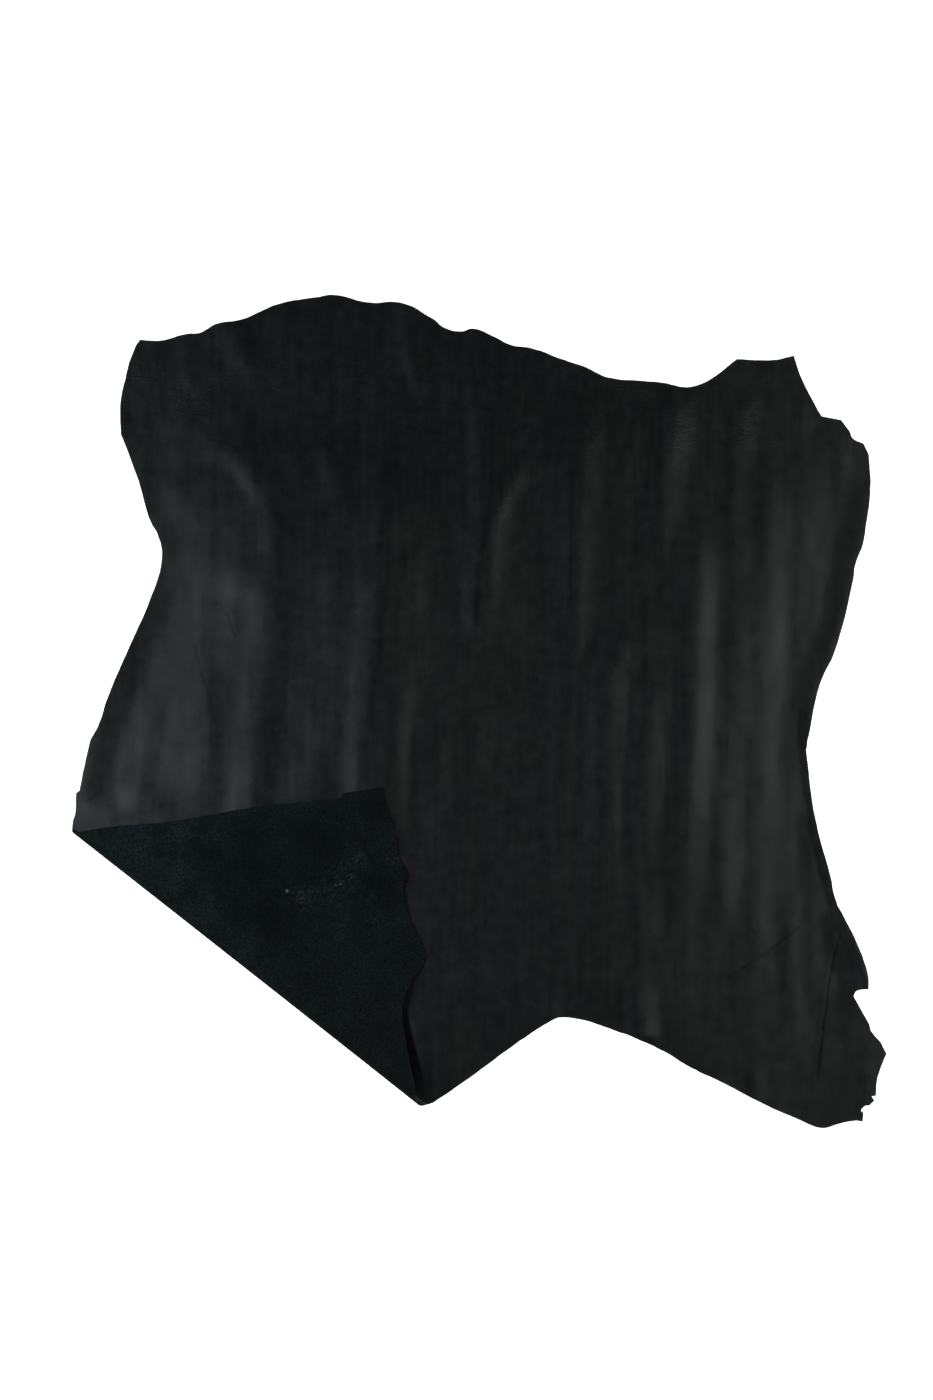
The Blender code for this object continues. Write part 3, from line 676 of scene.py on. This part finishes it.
def new_group(name, inputs, outputs):
    """An empty node group with its sockets, and its input and output nodes."""
    group = bpy.data.node_groups.new(name, "ShaderNodeTree")
    for socket, kind, value in inputs:
        made = group.interface.new_socket(name=socket, in_out="INPUT", socket_type=kind)
        if value is not None:
            made.default_value = value
    for socket, kind in outputs:
        group.interface.new_socket(name=socket, in_out="OUTPUT", socket_type=kind)
    return group, group.nodes.new("NodeGroupInput").outputs, group.nodes.new("NodeGroupOutput").inputs


def patchy_group():
    """Uneven dye: a colour that is lighter and darker in soft patches."""
    group, given, out = new_group(
        "patchy dye",
        (("Place", "NodeSocketVector", None), ("Colour", "NodeSocketColor", (0.5, 0.5, 0.5, 1.0)),
         ("Patch size", "NodeSocketFloat", 0.05), ("Strength", "NodeSocketFloat", 0.2)),
        (("Colour", "NodeSocketColor"), ("Mask", "NodeSocketFloat")))
    scale = maths(group, "DIVIDE", 1.0, given["Patch size"])
    mask = between(group, clouded(group, given["Place"], scale, 4.0, Roughness=0.6), 0.3, 0.7)
    swing = maths(group, "MULTIPLY_ADD", mask, 2.0, -1.0)
    factor = maths(group, "MULTIPLY_ADD", swing, given["Strength"], 1.0)
    group.links.new(scaled(group, given["Colour"], factor), out["Colour"])
    group.links.new(mask, out["Mask"])
    return group


def fibre_group():
    """Loose fibres: a height and a mask that vary tuft by tuft."""
    group, given, out = new_group(
        "loose fibres",
        (("Place", "NodeSocketVector", None), ("Tuft size", "NodeSocketFloat", 0.002)),
        (("Height", "NodeSocketFloat"), ("Mask", "NodeSocketFloat")))
    scale = maths(group, "DIVIDE", 1.0, given["Tuft size"])
    tufts = clouded(group, given["Place"], scale, 3.0, Roughness=0.7, Distortion=0.6)
    fine = clouded(group, given["Place"], maths(group, "MULTIPLY", scale, 3.7), 2.0)
    group.links.new(maths(group, "MULTIPLY_ADD", fine, 0.35, tufts), out["Height"])
    group.links.new(between(group, tufts, 0.35, 0.65), out["Mask"])
    return group


def wear_group():
    """Rubbed edges: strongest at the cut edge, broken up by patches."""
    group, given, out = new_group(
        "edge wear",
        (("Place", "NodeSocketVector", None), ("Reach", "NodeSocketFloat", 0.004)),
        (("Mask", "NodeSocketFloat"),))
    gap = put(group, "ShaderNodeAttribute", attribute_name="edge gap").outputs["Fac"]
    near = between(group, maths(group, "DIVIDE", gap, given["Reach"]), 0.0, 1.0, 1.0, 0.0)
    share = between(group, clouded(group, given["Place"], 160.0, 3.0), 0.4, 0.65)
    group.links.new(maths(group, "MULTIPLY", near, share), out["Mask"])
    return group


def brushed_group():
    """Roughness of the finish, brushed along the hide: long streaks and small clouds."""
    group, given, out = new_group(
        "brushed shine",
        (("Place", "NodeSocketVector", None), ("Low", "NodeSocketFloat", 0.3),
         ("High", "NodeSocketFloat", 0.5)),
        (("Roughness", "NodeSocketFloat"),))
    long = put(group, "ShaderNodeMapping", {"Vector": given["Place"], "Scale": (85.0, 7.0, 10.0)})
    streaks = clouded(group, long.outputs["Vector"], 1.0, 4.0, Roughness=0.6)
    clouds = clouded(group, given["Place"], 55.0, 5.0, Roughness=0.65)
    mixed = maths(group, "MULTIPLY_ADD", clouds, 0.6, maths(group, "MULTIPLY", streaks, 0.4))
    result = between(group, mixed, 0.35, 0.65, given["Low"], given["High"])
    group.links.new(result, out["Roughness"])
    return group


def spot_group():
    """A soft patch round one place, with a ragged border."""
    group, given, out = new_group(
        "soft spot",
        (("Place", "NodeSocketVector", None), ("Centre", "NodeSocketVector", None),
         ("Reach", "NodeSocketFloat", 0.02), ("Raggedness", "NodeSocketFloat", 0.3)),
        (("Mask", "NodeSocketFloat"),))
    level = put(group, "ShaderNodeVectorMath", {0: given["Place"], 1: (1.0, 1.0, 0.0)},
                operation="MULTIPLY").outputs[0]
    distance = put(group, "ShaderNodeVectorMath", {0: level, 1: given["Centre"]},
                   operation="DISTANCE").outputs["Value"]
    rag = clouded(group, given["Place"], maths(group, "DIVIDE", 2.5, given["Reach"]), 3.0)
    centred = maths(group, "MULTIPLY_ADD", rag, 2.0, -1.0)
    swing = maths(group, "MULTIPLY", centred, given["Raggedness"])
    share = maths(group, "ADD", maths(group, "DIVIDE", distance, given["Reach"]), swing)
    group.links.new(between(group, share, 0.1, 1.0, 1.0, 0.0), out["Mask"])
    return group


def scuffs_group():
    """Thin, broken, curved strokes rubbed into the nap."""
    group, given, out = new_group(
        "scuff strokes",
        (("Place", "NodeSocketVector", None), ("Line width", "NodeSocketFloat", 0.002)),
        (("Mask", "NodeSocketFloat"),))
    turned = put(group, "ShaderNodeMapping", {
        "Vector": given["Place"], "Rotation": (0.0, 0.0, radians(30)),
        "Scale": (3.0, 1.0, 1.0)}, vector_type="TEXTURE").outputs["Vector"]
    scale = maths(group, "DIVIDE", 0.6, given["Line width"])
    strokes = clouded(group, turned, scale, 3.0, Roughness=0.65, Distortion=1.5)
    group.links.new(between(group, strokes, 0.52, 0.68), out["Mask"])
    return group


def use_group(tree, group, inputs):
    return put(tree, "ShaderNodeGroup", inputs, node_tree=group).outputs


def spot_mask(tree, groups, place, mark, raggedness):
    """The soft spot's mask for one mark on the flesh side."""
    x, y, reach = mark
    return use_group(tree, groups["spot"], {
        "Place": place, "Centre": (x * MM, y * MM, 0.0), "Reach": reach * MM,
        "Raggedness": raggedness})["Mask"]


def new_material(name):
    material = bpy.data.materials.new(name)
    material.use_nodes = True
    tree = material.node_tree
    place = put(tree, "ShaderNodeTexCoord").outputs["Object"]
    return material, tree, tree.nodes["Principled BSDF"], place


def bump(tree, shader, height, strength, distance):
    node = put(tree, "ShaderNodeBump", {"Height": height, "Strength": strength, "Distance": distance})
    tree.links.new(node.outputs["Normal"], shader.inputs["Normal"])


def opaque(colour):
    return (*colour, 1.0)


def grain_material(finish, groups):
    """Black, softly shining grain side: fine pebbles, neck wrinkles, uneven dye and rubbed edges."""
    material, tree, shader, place = new_material("black grain leather")
    dye = use_group(tree, groups["patchy"], {
        "Place": place, "Colour": opaque(finish.grain_colour), "Patch size": 0.09, "Strength": 0.12})
    worn = use_group(tree, groups["wear"], {"Place": place, "Reach": 0.004})
    colour = blend_colours(tree, worn["Mask"], dye["Colour"], opaque(finish.worn_colour))
    tree.links.new(colour, shader.inputs["Base Color"])
    pebble_scale = 1.0 / finish.pebble
    pebbles = put(tree, "ShaderNodeTexVoronoi", {"Vector": place, "Scale": pebble_scale},
                  feature="SMOOTH_F1").outputs["Distance"]
    pores = clouded(tree, place, 2.6 * pebble_scale, 2.0)
    neck = put(tree, "ShaderNodeAttribute", attribute_name="neck").outputs["Fac"]
    stretched = put(tree, "ShaderNodeMapping", {
        "Vector": place, "Rotation": (0.0, 0.0, radians(-20)),
        "Scale": (110.0, 330.0, 110.0)}).outputs["Vector"]
    wrinkles = clouded(tree, stretched, 1.0, 3.0, Distortion=1.2)
    broken = between(tree, clouded(tree, place, 14.0, 2.0), 0.42, 0.62, 0.05, 0.34)
    wrinkle_height = maths(tree, "MULTIPLY", wrinkles, maths(tree, "MULTIPLY", neck, broken))
    fine = maths(tree, "MULTIPLY_ADD", pores, 0.03, maths(tree, "MULTIPLY", pebbles, -0.06))
    bump(tree, shader, maths(tree, "ADD", fine, wrinkle_height), 1.0, 1.0 * MM)
    shine = use_group(tree, groups["brushed"], {"Place": place, "Low": 0.315, "High": 0.445})
    crease = put(tree, "ShaderNodeAttribute", attribute_name="crease").outputs["Fac"]
    tree.links.new(maths(tree, "SUBTRACT", shine["Roughness"], crease), shader.inputs["Roughness"])
    shader.inputs["Specular IOR Level"].default_value = 0.34
    return material


def flesh_material(finish, groups):
    """Napped flesh side: matt, mottled blue, green and dark, with tufts, scuffs and one nick."""
    material, tree, shader, place = new_material("black napped flesh side")
    dark = opaque(finish.flesh_colour)
    dye = use_group(tree, groups["patchy"], {
        "Place": place, "Colour": dark, "Patch size": 0.08, "Strength": 0.45})
    green = use_group(tree, groups["patchy"], {
        "Place": shifted(tree, place, (3.0, 1.0, 0.0)), "Colour": opaque(finish.green_colour),
        "Patch size": 0.035, "Strength": 0.3})
    blue = use_group(tree, groups["patchy"], {
        "Place": shifted(tree, place, (7.0, 4.0, 0.0)), "Colour": opaque(finish.blue_colour),
        "Patch size": 0.03, "Strength": 0.25})
    position = put(tree, "ShaderNodeSeparateXYZ", {"Vector": place}).outputs
    toward_far = between(tree, position["Y"], -0.42, -0.24, 0.15, 0.68)
    toward_left = between(tree, position["X"], -0.45, -0.22, 0.9, 0.1)
    green_share = maths(tree, "MULTIPLY", green["Mask"], toward_far)
    colour = blend_colours(tree, green_share, dye["Colour"], green["Colour"])
    blue_share = maths(tree, "MULTIPLY", blue["Mask"], toward_left)
    colour = blend_colours(tree, blue_share, colour, blue["Colour"])
    for mark in SHADED_PATCHES:
        share = maths(tree, "MULTIPLY", spot_mask(tree, groups, place, mark, 0.9), 0.8)
        colour = blend_colours(tree, share, colour, opaque(finish.deep_colour))
    fibres = use_group(tree, groups["fibres"], {"Place": place, "Tuft size": finish.nap})
    scuff_lines = use_group(tree, groups["scuffs"], {"Place": place, "Line width": 2.2 * MM})
    for mark in SCUFFS:
        share = maths(tree, "MULTIPLY", spot_mask(tree, groups, place, mark, 0.9), scuff_lines["Mask"])
        colour = blend_colours(tree, share, colour, opaque(finish.scuff_colour))
    pale = maths(tree, "MULTIPLY_ADD", fibres["Mask"], 1.8, 0.13)
    colour = scaled(tree, colour, pale)
    nick = spot_mask(tree, groups, place, NICK, 0.3)
    colour = blend_colours(tree, nick, colour, opaque(finish.nick_colour))
    tree.links.new(colour, shader.inputs["Base Color"])
    bump(tree, shader, fibres["Height"], 0.6, 0.5 * MM)
    shader.inputs["Roughness"].default_value = 0.95
    shader.inputs["Specular IOR Level"].default_value = 0.08
    shader.inputs["Sheen Weight"].default_value = 0.013
    shader.inputs["Sheen Roughness"].default_value = 0.6
    return material


def edge_material(finish, groups):
    """The cut edge: short fibres, a little paler than either side."""
    material, tree, shader, place = new_material("black cut edge")
    fibres = use_group(tree, groups["fibres"], {"Place": place, "Tuft size": 0.5 * finish.nap})
    worn = use_group(tree, groups["patchy"], {
        "Place": place, "Colour": opaque(finish.edge_colour), "Patch size": 0.02, "Strength": 0.4})
    tree.links.new(worn["Colour"], shader.inputs["Base Color"])
    bump(tree, shader, fibres["Height"], 0.5, 0.3 * MM)
    shader.inputs["Roughness"].default_value = 0.9
    shader.inputs["Specular IOR Level"].default_value = 0.25
    return material


# ---- pieces --------------------------------------------------------------------------------------

NECK_LINES = (330, 390, 470, 520)    # millimetres along Y where the neck's wrinkles start and end


def neck_share(places):
    """Where the neck's wrinkles are: 1 in the middle of their band, 0 outside it."""
    start, full, ebb, end = (line * MM for line in NECK_LINES)
    y = places[:, 1]
    return ease((y - start) / (full - start)) * ease((end - y) / (end - ebb))


def add_layer(mesh, name, values):
    layer = mesh.attributes.new(name, "FLOAT", "POINT")
    layer.data.foreach_set("value", np.asarray(values, dtype=np.float32))


class HIDE_OT_make_hide(bpy.types.Operator):
    """Makes the folded hide in place of its plain solid"""

    bl_idname = "hide.make_hide"
    bl_label = "Make the hide"

    def execute(self, context):
        shape = context.scene.hide_shape
        finish = context.scene.hide_finish
        fold = Fold()
        flat, triangles, outline = flat_sheet(shape, fold)
        laid = lay(shape, fold, flat)
        mesh = bpy.data.meshes.new("folded hide")
        mesh.from_pydata(laid.tolist(), [], triangles.tolist())
        add_layer(mesh, "edge gap", gaps_to(dense(outline), flat))
        add_layer(mesh, "neck", neck_share(flat))
        add_layer(mesh, "crease", crease_rub(flat))
        groups = {"patchy": patchy_group(), "fibres": fibre_group(), "wear": wear_group(),
                  "brushed": brushed_group(), "spot": spot_group(), "scuffs": scuffs_group()}
        for make in (grain_material, flesh_material, edge_material):
            mesh.materials.append(make(finish, groups))
        hide = bpy.data.objects.new("folded_hide", mesh)
        context.scene.collection.objects.link(hide)
        thickness = hide.modifiers.new("leather thickness", "SOLIDIFY")
        thickness.thickness = shape.leather
        thickness.offset = 1.0
        thickness.use_even_offset = True
        thickness.material_offset = 1
        thickness.material_offset_rim = 2
        context.view_layer.update()
        solid = bpy.data.meshes.new_from_object(hide.evaluated_get(context.evaluated_depsgraph_get()))
        hide.modifiers.clear()
        hide.data = solid
        bpy.data.meshes.remove(mesh)
        solid.shade_smooth()
        solid.set_sharp_from_angle(angle=SHARP_ANGLE)
        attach(hide, "root")
        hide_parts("hide")
        return {"FINISHED"}


SoftLight = namedtuple("SoftLight", "name place width length power colour")
WALL_LINES = (0.05, 0.55)    # upward share of a direction where the walls end and the ceiling starts
UNDER_CAMERA = (-18 * MM, 16 * MM)


class HIDE_OT_set_stage(bpy.types.Operator):
    """Sets the floor, the two soft lights, the world and the camera straight above the hide"""

    bl_idname = "hide.set_stage"
    bl_label = "Set the stage"

    def execute(self, context):
        stage = context.scene.hide_stage
        self.lay_floor(context, stage)
        for light in (
            SoftLight("left light", (-1.9, -0.3, 1.5), 1.0, 1.6, stage.left_power, (0.87, 1.0, 1.05)),
            SoftLight("right light", (1.9, -0.2, 1.5), 1.0, 1.6, stage.right_power, (0.98, 1.0, 0.98)),
        ):
            self.hang(context, light)
        self.fill_world(context, stage)
        self.place_camera(context, stage)
        context.scene.view_settings.view_transform = "Standard"
        return {"FINISHED"}

    def lay_floor(self, context, stage):
        half = 0.5 * stage.floor_size
        drop = -0.3 * MM
        mesh = bpy.data.meshes.new("floor")
        corners = [(-half, -half, drop), (half, -half, drop), (half, half, drop), (-half, half, drop)]
        mesh.from_pydata(corners, [], [(0, 1, 2, 3)])
        floor = bpy.data.objects.new("floor", mesh)
        context.scene.collection.objects.link(floor)
        material = bpy.data.materials.new("pale floor")
        material.use_nodes = True
        shader = material.node_tree.nodes["Principled BSDF"]
        shader.inputs["Base Color"].default_value = opaque(stage.floor_colour)
        shader.inputs["Roughness"].default_value = 0.9
        shader.inputs["Specular IOR Level"].default_value = 0.1
        shader.inputs["Emission Color"].default_value = (1.0, 1.0, 1.0, 1.0)
        shader.inputs["Emission Strength"].default_value = stage.floor_glow
        mesh.materials.append(material)

    def hang(self, context, light):
        lamp = bpy.data.lights.new(light.name, "AREA")
        lamp.shape = "RECTANGLE"
        lamp.size = light.width
        lamp.size_y = light.length
        lamp.energy = light.power
        lamp.color = light.colour
        holder = bpy.data.objects.new(light.name, lamp)
        holder.location = light.place
        holder.rotation_mode = "QUATERNION"
        holder.rotation_quaternion = (-Vector(light.place)).to_track_quat("-Z", "Y")
        holder.visible_camera = False
        context.scene.collection.objects.link(holder)

    def fill_world(self, context, stage):
        world = bpy.data.worlds.new("pale room")
        context.scene.world = world
        world.use_nodes = True
        tree = world.node_tree
        tree.nodes.clear()
        direction = put(tree, "ShaderNodeTexCoord").outputs["Generated"]
        height = put(tree, "ShaderNodeSeparateXYZ", {"Vector": direction}).outputs["Z"]
        strength = between(tree, height, *WALL_LINES, stage.wall_light, stage.ceiling_light)
        dim = put(tree, "ShaderNodeBackground", {"Color": (0.9, 0.95, 1.0, 1.0), "Strength": strength})
        pale = put(tree, "ShaderNodeBackground", {"Color": (1.0, 1.0, 1.0, 1.0), "Strength": 1.0})
        seen = put(tree, "ShaderNodeLightPath").outputs["Is Camera Ray"]
        mix = put(tree, "ShaderNodeMixShader", {0: seen, 1: dim.outputs[0], 2: pale.outputs[0]})
        put(tree, "ShaderNodeOutputWorld", {"Surface": mix.outputs[0]})

    def place_camera(self, context, stage):
        camera = bpy.data.cameras.new("camera")
        camera.sensor_width = 36.0
        camera.lens = camera.sensor_width * stage.camera_height / stage.view_length
        camera.clip_end = 50.0
        holder = bpy.data.objects.new("camera", camera)
        holder.location = (*UNDER_CAMERA, stage.camera_height)
        context.scene.collection.objects.link(holder)
        context.scene.camera = holder


class HIDE_PT_sidebar(bpy.types.Panel):
    """Lists the hide's pieces and settings"""

    bl_idname = "HIDE_PT_sidebar"
    bl_label = "Folded leather hide"
    bl_space_type = "VIEW_3D"
    bl_region_type = "UI"
    bl_category = "Hide"

    def draw(self, context):
        for operator, settings in (
            (HIDE_OT_make_hide, (context.scene.hide_shape, context.scene.hide_finish)),
            (HIDE_OT_set_stage, (context.scene.hide_stage,)),
        ):
            box = self.layout.box()
            box.operator(operator.bl_idname)
            for group in settings:
                for name in group.__annotations__:
                    box.prop(group, name)


CLASSES = (HideShape, HideFinish, HideStage, HIDE_OT_make_hide, HIDE_OT_set_stage, HIDE_PT_sidebar)
SETTINGS = {"hide_shape": HideShape, "hide_finish": HideFinish, "hide_stage": HideStage}


def register():
    for cls in CLASSES:
        bpy.utils.register_class(cls)
    for name, group in SETTINGS.items():
        setattr(bpy.types.Scene, name, PointerProperty(type=group))


def unregister():
    for name in SETTINGS:
        delattr(bpy.types.Scene, name)
    for cls in reversed(CLASSES):
        bpy.utils.unregister_class(cls)


def main():
    register()
    bpy.ops.hide.make_hide()
    bpy.ops.hide.set_stage()


if __name__ == "__main__":
    main()
